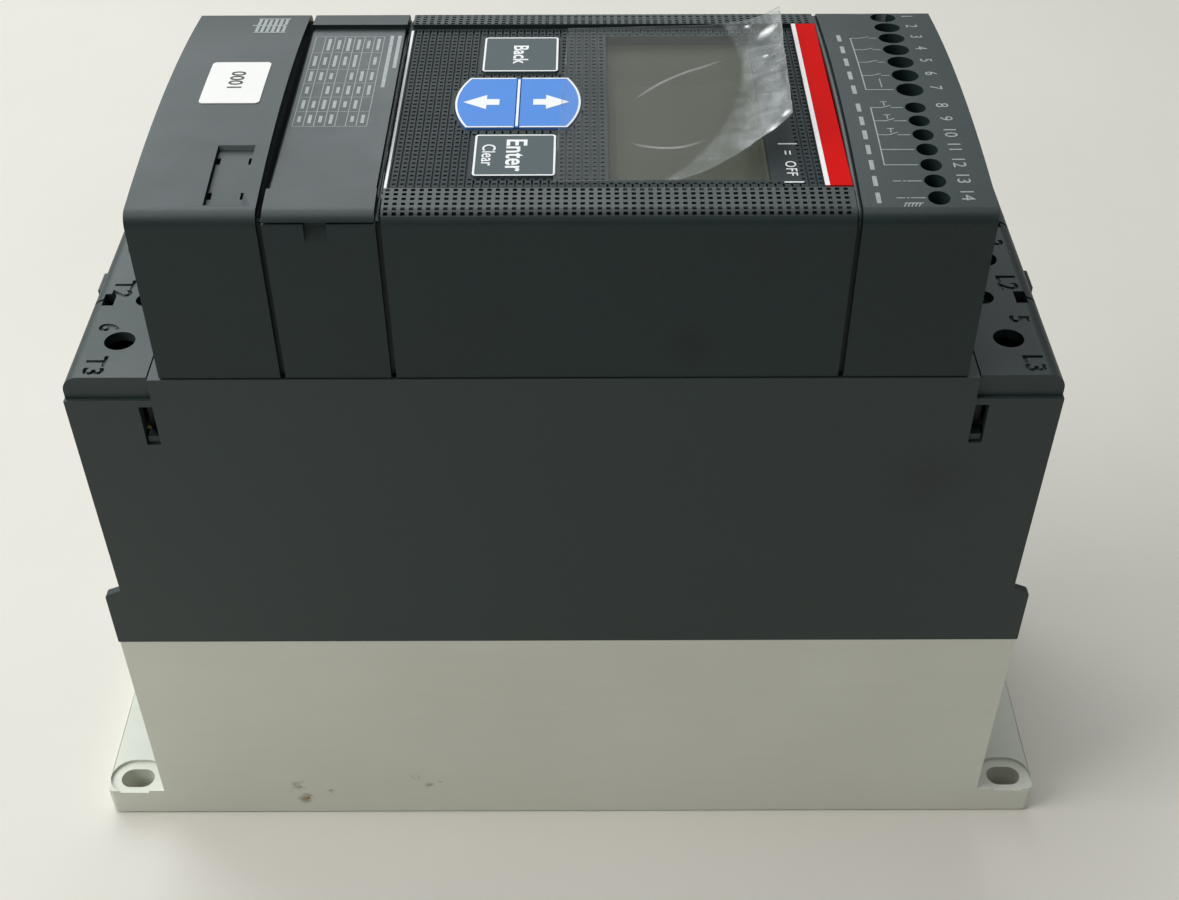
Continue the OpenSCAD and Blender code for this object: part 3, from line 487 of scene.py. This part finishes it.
def thicken(bm, faces, by):
    """Draws flat faces out into a solid, along a vector."""
    drawn = bmesh.ops.extrude_face_region(bm, geom=list(faces))
    far_side = [v for v in drawn["geom"] if isinstance(v, bmesh.types.BMVert)]
    bmesh.ops.translate(bm, vec=by, verts=far_side)


def merged_copy(node):
    """The CAD node's mesh in millimetres, its loose triangles joined and its flat faces made whole."""
    bm = bmesh.new()
    bm.from_mesh(nodes[node].data)
    bmesh.ops.scale(bm, vec=(1 / MM, 1 / MM, 1 / MM), verts=bm.verts)
    bmesh.ops.remove_doubles(bm, verts=bm.verts, dist=0.002)
    bmesh.ops.dissolve_limit(bm, angle_limit=radians(0.2), verts=bm.verts, edges=bm.edges,
                             use_dissolve_boundaries=False)
    return bm


def carve(thing, cutter):
    """Cuts one mesh object out of another and keeps the result as plain mesh."""
    cut = thing.modifiers.new("carve", "BOOLEAN")
    cut.operation = "DIFFERENCE"
    cut.solver = "EXACT"
    cut.object = cutter
    bpy.context.view_layer.update()
    made = bpy.data.meshes.new_from_object(thing.evaluated_get(bpy.context.evaluated_depsgraph_get()))
    thing.modifiers.remove(cut)
    old = thing.data
    thing.data = made
    bpy.data.meshes.remove(old)
    drop(cutter)


def soften(thing, edge):
    """Rounds the hard edges of a moulding by a bevel, and keeps its flat faces flat."""
    round_off = thing.modifiers.new("edge_round", "BEVEL")
    round_off.width = edge * MM
    round_off.segments = 2
    round_off.limit_method = "ANGLE"
    round_off.angle_limit = radians(ROUNDED_FROM)
    round_off.use_clamp_overlap = True
    round_off.harden_normals = False
    for face in thing.data.polygons:
        face.use_smooth = True
    flat = thing.modifiers.new("even_normals", "WEIGHTED_NORMAL")
    flat.keep_sharp = False
    flat.weight = 100


def moulding(name, node, finish, cutter=None, edge=0.22):
    """A moulding that stands for its CAD node: the same shape with its cut marks and rounded edges."""
    made = piece(name, merged_copy(node), finish, outward=False)
    if cutter:
        carve(made, cutter)
        made.data.materials.clear()
        made.data.materials.append(finish)
    if edge:
        soften(made, edge)
    else:
        made.data.shade_smooth()
        made.data.set_sharp_from_angle(angle=radians(SHARP_FROM))
        even = made.modifiers.new("even_normals", "WEIGHTED_NORMAL")
        even.keep_sharp = True
        even.weight = 100
    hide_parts(node)


def cutter_from(bm):
    """An object to carve with, from a bmesh in millimetres."""
    bmesh.ops.scale(bm, vec=(MM, MM, MM), verts=bm.verts)
    mesh = bpy.data.meshes.new("cutter")
    bm.to_mesh(mesh)
    bm.free()
    made = bpy.data.objects.new("cutter", mesh)
    bpy.context.scene.collection.objects.link(made)
    return made


def letters(words, cap, at, thick, on=None, spread=1.0, bold=0.0):
    """Words as a bmesh: tops towards +X, read towards -Y, lying on the height on(y) or on at[2]."""
    line = bpy.data.curves.new("letters", "FONT")
    line.body = words
    line.size = cap / CAP_SHARE
    line.align_x = "CENTER"
    line.align_y = "CENTER"
    line.resolution_u = 3
    line.space_character = spread
    line.extrude = thick / 2
    line.offset = bold
    holder = bpy.data.objects.new("letters", line)
    bpy.context.scene.collection.objects.link(holder)
    bpy.context.view_layer.update()
    mesh = bpy.data.meshes.new_from_object(holder.evaluated_get(bpy.context.evaluated_depsgraph_get()))
    bpy.data.objects.remove(holder)
    bpy.data.curves.remove(line)
    bm = bmesh.new()
    bm.from_mesh(mesh)
    bpy.data.meshes.remove(mesh)
    bmesh.ops.remove_doubles(bm, verts=bm.verts, dist=0.0005)
    bmesh.ops.rotate(bm, verts=bm.verts, matrix=Matrix.Rotation(-pi / 2, 3, "Z"))
    bmesh.ops.translate(bm, verts=bm.verts, vec=(at[0], at[1], thick / 2))
    for v in bm.verts:
        v.co.z += on(v.co.y) if on else at[2]
    return bm


def add_to(bm, other):
    """Joins a second bmesh into the first."""
    mesh = bpy.data.meshes.new("join")
    other.to_mesh(mesh)
    other.free()
    bm.from_mesh(mesh)
    bpy.data.meshes.remove(mesh)


def stroke(bm, a, b, width, thick, on):
    """A printed line from a to b in the plan, laid on the height on(y)."""
    a, b = Vector(a), Vector(b)
    run = (b - a).length
    made = bmesh.new()
    block(made, (-width / 2, -width / 2, 0), (run + width / 2, width / 2, thick))
    cuts = int(run / 2.5)
    if cuts:
        along = [e for e in made.edges if abs((e.verts[0].co - e.verts[1].co).x) > run / 2]
        bmesh.ops.subdivide_edges(made, edges=along, cuts=cuts, use_grid_fill=True)
    turn = Matrix.Rotation(atan2(b.y - a.y, b.x - a.x), 3, "Z")
    bmesh.ops.rotate(made, verts=made.verts, matrix=turn)
    bmesh.ops.translate(made, verts=made.verts, vec=(a.x, a.y, 0))
    for v in made.verts:
        v.co.z += on(v.co.y)
    add_to(bm, made)


def on_panel(y):
    """Height of a print on the keypad overlay or the label panel."""
    return PANEL_Z + 0.005


def on_key(y):
    """Height of a print on a key."""
    return KEY_TOP + 0.005


def on_crown(y):
    """Height of a print on the crowned front."""
    return crown(y) + 0.01


# ---------------------------------------------------------------- dotted front
def dotted_bands():
    """The rows of square pits on both shoulders of the keypad block."""
    first_x, count = -33.55, 55
    pit = Matrix.Diagonal((0.86, 0.76, 1.7, 1.0))
    bm = bmesh.new()
    for side in (-1, 1):
        for y in DOT_ROWS:
            lean = Matrix.Rotation(crown_tilt(side * y), 4, "X")
            for i in range(count):
                at = Matrix.Translation((first_x + i * DOT_PITCH, side * y, crown(y)))
                bmesh.ops.create_cube(bm, size=1.0, matrix=at @ lean @ pit)
    return cutter_from(bm)


def keypad_free(x, y, rim):
    """Whether a place on the keypad overlay is clear of the keys, the display and its legend."""
    if abs(x - KEY_X) < GREY_KEY_HALF + rim and abs(abs(y) - KEY_ROW) < GREY_KEY_HALF + rim:
        return False
    if abs(y) < ARROW_KEY_HALF + rim and abs(x - KEY_X) < sqrt((ARROW_KEY_R + rim) ** 2 - y * y) - ARROW_KEY_DROP:
        return False
    return not (DISPLAY_FROM < x < DISPLAY_TO and abs(y) < DISPLAY_HALF)


def keypad_mesh():
    """Fine grooves across the keypad overlay, with a row of small pits between each two."""
    grooves, half_groove, groove_z = 52, 0.2, PANEL_Z - 0.5
    pits, half_pit_x, half_pit_y, pit_z = 43, 0.36, 0.34, PANEL_Z - 0.22
    above = PANEL_Z + 0.4
    step, steps = 0.41, 173  # along a groove, to find where it stops
    bm = bmesh.new()
    for i in range(grooves):
        x, start = LINE_X + 0.75 + i * DOT_PITCH, None
        for j in range(steps + 1):
            y = -35.4 + j * step
            free = j < steps and keypad_free(x, y, 0.55)
            if free and start is None:
                start = y
            if not free and start is not None:
                if y - start > 1.2:
                    block(bm, (x - half_groove, start, groove_z), (x + half_groove, y - step, above))
                start = None
        mid = x + DOT_PITCH / 2
        for j in range(pits):
            y = -34.5 + j * DOT_PITCH
            if keypad_free(mid, y, 0.8):
                block(bm, (mid - half_pit_x, y - half_pit_y, pit_z), (mid + half_pit_x, y + half_pit_y, above))
    return cutter_from(bm)


moulding("front_moulding", "front_cover", FRONT_SHADED_COPY, cutter=dotted_bands(), edge=0.0)
moulding("keypad_overlay", "keypad_panel", PANEL, cutter=keypad_mesh(), edge=0.0)


# ---------------------------------------------------------------- terminal covers, housing, sink and label cap
def terminal_marks(end):
    """Numbers and phase marks that are sunk into a terminal cover."""
    bm = bmesh.new()
    line = (("L1", 21.6), ("1", 37.0), ("L2", -9.8), ("3", 6.6), ("L3", -39.9), ("5", -23.9))
    load = (("T1", 20.0), ("2", 36.0), ("T2", -11.3), ("4", 5.2), ("T3", -39.9), ("6", -26.0))
    for words, y in line if end > 0 else load:
        add_to(bm, letters(words, 4.2, (end * MARK_X, y, COVER_TOP - 0.6), 1.2, spread=1.05, bold=0.16))
    return cutter_from(bm)


moulding("line_cover_moulding", "line_terminal_cover", CASE, cutter=terminal_marks(1), edge=0.0)
moulding("load_cover_moulding", "load_terminal_cover", CASE, cutter=terminal_marks(-1), edge=0.0)
moulding("housing_moulding", "main_housing", CASE)
moulding("sink_casting", "heat_sink", SINK, edge=0.35)
moulding("label_cap", "label_cover", FRONT_SHADED_COPY, edge=0.15)


# ---------------------------------------------------------------- keys and their prints
def rim_print(name, node, width, body, keep=None):
    """A white line round the top of a key, made from the key's own top face."""
    bm = merged_copy(node)
    top = max(v.co.z for v in bm.verts)
    crest = [f for f in bm.faces if f.normal.z > 0.99 and f.calc_center_median().z > top - 0.01]
    bmesh.ops.delete(bm, geom=[f for f in bm.faces if f not in crest], context="FACES")
    inner = bmesh.ops.inset_region(bm, faces=list(bm.faces), thickness=width, depth=0.0, use_even_offset=True,
                                   use_boundary=True)
    ring = set(inner["faces"])
    lost = [f for f in bm.faces if f not in ring or (keep and not keep(f.calc_center_median()))]
    bmesh.ops.delete(bm, geom=lost, context="FACES")
    thicken(bm, bm.faces, (0, 0, KEY_PRINT))
    piece(name, bm, WHITE, body)


def arrow_print(name, tail, neck, tip, body):
    """A flat white arrow along X on an arrow key."""
    bm = bmesh.new()
    outline = [(tail, -1.25), (neck, -1.25), (neck, -3.1), (tip, 0), (neck, 3.1), (neck, 1.25), (tail, 1.25)]
    face = bm.faces.new([bm.verts.new((x, y, on_key(y))) for x, y in outline])
    thicken(bm, [face], (0, 0, KEY_PRINT))
    piece(name, bm, WHITE, body)


rim_print("exit_key_line", "exit_key", 0.42, "exit_key")
rim_print("select_key_line", "select_key", 0.42, "select_key")
rim_print("up_key_line", "up_key", 0.45, "up_key", lambda c: c.x - KEY_X > 1.2)
rim_print("down_key_line", "down_key", 0.45, "down_key", lambda c: KEY_X - c.x > 1.2)
arrow_print("up_arrow", -6.3, -3.6, 1.3, "up_key")
arrow_print("down_arrow", -13.4, -16.1, -21.0, "down_key")
exit_word = letters("Back", 3.2, (KEY_X - 0.2, KEY_ROW), KEY_PRINT, on_key, bold=0.09)
piece("exit_key_word", exit_word, WHITE, "exit_key")
select_words = letters("Enter", 4.1, (KEY_X + 0.1, -KEY_ROW), KEY_PRINT, on_key, bold=0.1)
add_to(select_words, letters("Clear", 2.7, (KEY_X - 5.4, -KEY_ROW), KEY_PRINT, on_key, bold=0.03))
piece("select_key_words", select_words, WHITE, "select_key")


# ---------------------------------------------------------------- prints on the panel, label and terminal block
def keypad_lines():
    """White lines of the keypad: the one between the arrow keys, the one at its end and what shows of the legend."""
    bm = bmesh.new()
    stroke(bm, (KEY_X, -10.0), (KEY_X, 10.0), 0.5, FINE_PRINT, lambda y: DIVIDER_TOP)
    stroke(bm, (LINE_X, -34.6), (LINE_X, 34.6), 0.5, KEY_PRINT, on_panel)
    for y in (-32.5, -17.4):
        stroke(bm, (43.9, y), (47.3, y), 0.42, KEY_PRINT, on_panel)
    for x in (44.9, 45.8):
        stroke(bm, (x, -21.6), (x, -20.4), 0.3, KEY_PRINT, on_panel)
    add_to(bm, letters("OFF", 2.2, (45.4, -27.2), KEY_PRINT, on_panel, spread=1.1))
    return bm


def key_divider():
    """The raised bar between the two arrow keys."""
    bm = bmesh.new()
    block(bm, (KEY_X - 0.34, -10.7, PANEL_Z - 0.02), (KEY_X + 0.34, 10.7, DIVIDER_TOP))
    return bm


def strip_edge():
    """The white border of the red strip."""
    bm = bmesh.new()
    block(bm, (51.22, -STRIP_HALF, STRIP_TOP), (52.15, STRIP_HALF, STRIP_TOP + FINE_PRINT))
    return bm


def strip_wall():
    """The dark upright edge of the strip towards the keypad."""
    bm = bmesh.new()
    block(bm, (51.1, -STRIP_HALF, PANEL_Z), (51.19, STRIP_HALF, STRIP_TOP))
    return bm


def groove_floor(x0, x1, depth, thick):
    """The raised floor that makes one parting groove shallower over the crown and its shoulders."""
    edge = HALF_FRONT - SHOULDER
    bend_z = crown(edge) - SHOULDER

    def section(sunk):
        """The line of the front from side to side, sunk by a depth."""
        r = SHOULDER - sunk
        turn = [(edge + r * cos(a), bend_z + r * sin(a)) for a in (0.0, 0.3, 0.6, 0.9, 1.2, 1.44)]
        over = [(y, crown(y) - sunk) for y in range(40, -41, -4)]
        return turn + over + [(-y, z) for y, z in reversed(turn)]

    bm = bmesh.new()
    outline = section(depth) + section(depth + thick)[::-1]
    face = bm.faces.new([bm.verts.new((x0, y, z)) for y, z in outline])
    thicken(bm, [face], (x1 - x0, 0, 0))
    return bm


def label_table():
    """A plain ruled table with dashes for its entries."""
    bm = bmesh.new()
    row = 2.2
    rules = [-55.9 + i * row for i in range(8)]
    for x in rules:
        stroke(bm, (x, -9.6), (x, 32.0), 0.14, LABEL_PRINT, on_panel)
    for y in (-9.6, -3.2, 3.2, 9.6, 16.0, 24.0, 32.0):
        stroke(bm, (rules[0], y), (rules[-1], y), 0.14, LABEL_PRINT, on_panel)
    columns = ((28.0, 5.6), (20.0, 5.2), (12.8, 3.8), (6.4, 3.6), (0.0, 3.4), (-6.4, 3.2))
    for i, x in enumerate(rules[:-1]):
        for j, (y, long) in enumerate(columns):
            if (i * 5 + j * 3) % 7:
                cut = long * (0.55 + 0.45 * ((i * 3 + j * 7) % 5) / 4)
                mid = x + row / 2
                stroke(bm, (mid, y - cut / 2), (mid, y + cut / 2), 0.7, LABEL_PRINT, on_panel)
    for x, long in ((-38.8, 24.0), (-37.1, 15.0)):
        stroke(bm, (x, 32.0 - long), (x, 32.0), 0.8, LABEL_PRINT, on_panel)
    return bm


def terminal_numbers():
    """Numbers 1 to 14 beside the holes of the control terminals."""
    bm = bmesh.new()
    for i, y in enumerate(RELAY_Y[::-1] + SIGNAL_Y):
        add_to(bm, letters(str(i + 1), 2.6, (NUMBER_X, y + 0.9), FINE_PRINT, on_crown))
    return bm


def wiring_sketch():
    """A plain sketch of contacts that join the control terminals."""
    bm = bmesh.new()
    common = 63.5  # X of the line that joins a group of terminals

    def line(*points):
        for a, b in zip(points, points[1:]):
            stroke(bm, a, b, 0.24, FINE_PRINT, on_crown)

    for y, long in [(y, 2.8) for y in RELAY_Y[:5]] + [(y, 2.4) for y in SIGNAL_Y]:
        stroke(bm, (61.0, y - long / 2), (61.0, y + long / 2), 0.9, FINE_PRINT, on_crown)
    line((common, RELAY_Y[4]), (common, RELAY_Y[0]))
    line((common, RELAY_Y[0]), (69.2, RELAY_Y[0]))
    for y in RELAY_Y[1:5]:
        line((common, y), (65.6, y), (67.6, y + 0.9))
        line((67.7, y), (69.2, y))
    line((67.0, RELAY_Y[1] - 1.6), (67.0, RELAY_Y[0] + 1.2))
    line((common, SIGNAL_Y[0]), (common, SIGNAL_Y[4]))
    for y in SIGNAL_Y[:3]:
        line((common, y), (65.8, y), (67.6, y + 0.9))
        line((67.7, y), (70.0, y))
        line((66.4, y + 1.0), (66.4, y + 2.4))
        line((65.8, y + 2.4), (67.0, y + 2.4))
    for y in SIGNAL_Y[3:5]:
        line((common, y), (70.0, y))
    for y in SIGNAL_Y[5:]:
        line((64.6, y), (66.0, y))
        line((66.6, y), (66.9, y))
        line((67.4, y), (70.0, y))
    ground = SIGNAL_Y[6] - 1.6
    for k in range(5):
        line((66.2 + 0.7 * k, ground), (65.7 + 0.7 * k, ground - 1.0))
    line((66.0, ground), (69.4, ground))
    return bm


def manual_sign():
    """A small open book, the usual sign for reading the manual."""
    bm = bmesh.new()
    for y in (33.4, 37.8):
        for i in range(6):
            x = -69.3 + i * 1.2
            stroke(bm, (x, y - 1.5), (x, y + 1.5), 0.72, FINE_PRINT, on_crown)
    for y in (31.2, 40.0):
        stroke(bm, (-69.7, y), (-62.9, y), 0.5, FINE_PRINT, on_crown)
    stroke(bm, (-70.4, 35.6), (-63.6, 35.6), 0.6, FINE_PRINT, on_crown)
    return bm


piece("keypad_lines", keypad_lines(), WHITE)
piece("key_divider", key_divider(), KEY_BLUE)
piece("strip_edge", strip_edge(), WHITE)
piece("strip_wall", strip_wall(), PANEL)
line_groove = piece("line_groove_floor", groove_floor(56.68, 57.72, depth=0.45, thick=0.8), FRONT_SHADED_COPY)
for face in line_groove.data.polygons:
    face.use_smooth = abs(face.normal.x) < 0.5
piece("label_table", label_table(), PALE)
piece("terminal_numbers", terminal_numbers(), PALE)
piece("wiring_sketch", wiring_sketch(), PALE)
piece("manual_sign", manual_sign(), PALE)
sticker_number = letters("0001", 3.0, (-69.4, 5.2), FINE_PRINT, lambda y: crown(y) + 0.16, bold=0.06)
piece("sticker_number", sticker_number, INK)


# ---------------------------------------------------------------- lifted film
FOLD_NEAR = Vector((23.3, -33.0))  # ends of the line along which the film starts to lift
FOLD_FAR = Vector((30.2, 35.4))
FILM_BEND = 36.0  # radius of the bend
FILM_PLAN = ((-1.6, -33.4), FOLD_NEAR, (46.0, -18.5), (48.3, 35.4), FOLD_FAR, (0.8, 34.0))


def lifted_film():
    """The clear sheet: flat over the keys and display, then curling up past a slanting fold, with creases."""
    plan = [Vector(p) for p in FILM_PLAN]
    along = (FOLD_FAR - FOLD_NEAR).normalized()
    over = Vector((along.y, -along.x))
    bm = bmesh.new()
    bmesh.ops.create_grid(bm, x_segments=78, y_segments=104, size=1.0,
                          matrix=Matrix.Translation((23.5, 1.0, 0)) @ Matrix.Diagonal((26.0, 36.0, 1.0, 1.0)))
    for a, b in zip(plan, plan[1:] + plan[:1]):
        out = Vector((b.y - a.y, a.x - b.x, 0))
        bmesh.ops.bisect_plane(bm, geom=bm.verts[:] + bm.edges[:] + bm.faces[:], dist=1e-5,
                               plane_co=(a.x, a.y, 0), plane_no=out, clear_outer=True)
    for v in bm.verts:
        flat = Vector((v.co.x, v.co.y))
        past = (flat - FOLD_NEAR).dot(over)
        rise = FILM_BEND - sqrt(FILM_BEND ** 2 - past * past) if past > 0 else 0.0
        lift = min(1.0, max(0.0, past / 14.0))
        wave = noise.noise(Vector((v.co.x * 0.16, v.co.y * 0.11, 3.1)))
        crease = abs(noise.noise(Vector((v.co.x * 0.10 + v.co.y * 0.05, v.co.y * 0.24, 7.7))))
        rim = 0.25 + 0.12 * noise.noise(Vector((v.co.x * 0.3, v.co.y * 0.3, 1.3)))
        v.co.z = FILM_Z + rim * 0.5 + rise + lift * (0.9 * wave - 1.3 * (0.4 - crease))
    edge = bm.verts.layers.float.new("rim")
    for v in bm.verts:
        v[edge] = 1.0 if v.is_boundary else 0.0
    return bm


film_bm = lifted_film()
film_area = sum(f.calc_area() for f in film_bm.faces) * MM * MM
film = piece("lifted_film", film_bm, FILM)
for face in film.data.polygons:
    face.use_smooth = True
thick = film.modifiers.new("film_thickness", "SOLIDIFY")
thick.thickness = 0.1 * MM
thick.offset = 1.0
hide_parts("protective_film")


# ---------------------------------------------------------------- floor, lamps and camera
def studio():
    """A plain pale floor, three soft lamps and a weak even sky."""
    floor_bm = bmesh.new()
    bmesh.ops.create_grid(floor_bm, x_segments=8, y_segments=8, size=3.0)
    mesh = bpy.data.meshes.new("floor")
    floor_bm.to_mesh(mesh)
    floor_bm.free()
    f = Finish("pale_floor", roughness=0.6, specular=0.2)
    f.colour(f.shades(f.cloud(6, 4), (0.3, srgb(226, 223, 214)), (0.7, srgb(231, 228, 219))))
    f.relief(f.cloud(40, 3), 0.3)
    mesh.materials.append(f.mat)
    floor = bpy.data.objects.new("floor", mesh)
    floor.location.z = -0.0004
    bpy.context.scene.collection.objects.link(floor)

    def lamp(name, at, aim, size, power, tone=(1, 1, 1)):
        light = bpy.data.lights.new(name, "AREA")
        light.shape = "RECTANGLE"
        light.size, light.size_y = size
        light.energy = power
        light.color = tone
        made = bpy.data.objects.new(name, light)
        made.location = at
        made.rotation_euler = (Vector(aim) - Vector(at)).to_track_quat("-Z", "Y").to_euler()
        bpy.context.scene.collection.objects.link(made)

    lamp("left_lamp", (-1.15, -0.32, 0.98), (0, 0, 0.06), (0.8, 0.8), 10.5)
    lamp("overhead_lamp", (-0.4, 0.0, 1.7), (0, 0, 0.05), (1.5, 1.6), 9.5)
    lamp("back_panel", (-0.62, 1.5, 1.5), (0, 0, 0.12), (2.1, 1.5), 25, (0.95, 1.0, 1.02))
    world = bpy.data.worlds.new("studio")
    bpy.context.scene.world = world
    world.use_nodes = True
    sky = world.node_tree.nodes["Background"]
    sky.inputs["Color"].default_value = (1.0, 0.99, 0.97, 1)
    sky.inputs["Strength"].default_value = 0.165


PHOTO_WIDTH, PHOTO_HEIGHT = 1179, 900  # pixels
FOCAL_PIXELS = 1586.9
AXIS_ROW = 550.6  # pixel row that the lens axis meets
EYE = (0.0053, -0.3087, 0.3416)  # metres
SENSOR = 36.0  # millimetres


def photo_camera():
    """The photograph's viewpoint, fitted to the outline of the starter."""
    eye = bpy.data.cameras.new("photo_view")
    eye.sensor_fit = "HORIZONTAL"
    eye.sensor_width = SENSOR
    eye.lens = FOCAL_PIXELS / PHOTO_WIDTH * SENSOR
    eye.shift_y = (AXIS_ROW - PHOTO_HEIGHT / 2) / PHOTO_WIDTH
    eye.clip_start = 0.01
    made = bpy.data.objects.new("photo_view", eye)
    yaw, pitch, roll = radians(-0.01), radians(43.04), radians(-0.18)
    ahead = Vector((sin(yaw) * cos(pitch), cos(yaw) * cos(pitch), -sin(pitch)))
    right = Vector((cos(yaw), -sin(yaw), 0.0))
    up = right.cross(ahead)
    turned_right = cos(roll) * right + sin(roll) * up
    turned_up = -sin(roll) * right + cos(roll) * up
    turn = Matrix((turned_right, turned_up, -ahead)).transposed()
    made.matrix_world = Matrix.Translation(EYE) @ turn.to_4x4()
    bpy.context.scene.collection.objects.link(made)
    bpy.context.scene.camera = made


studio()
photo_camera()
bpy.context.scene.view_settings.view_transform = "Standard"

bpy.context.view_layer.update()
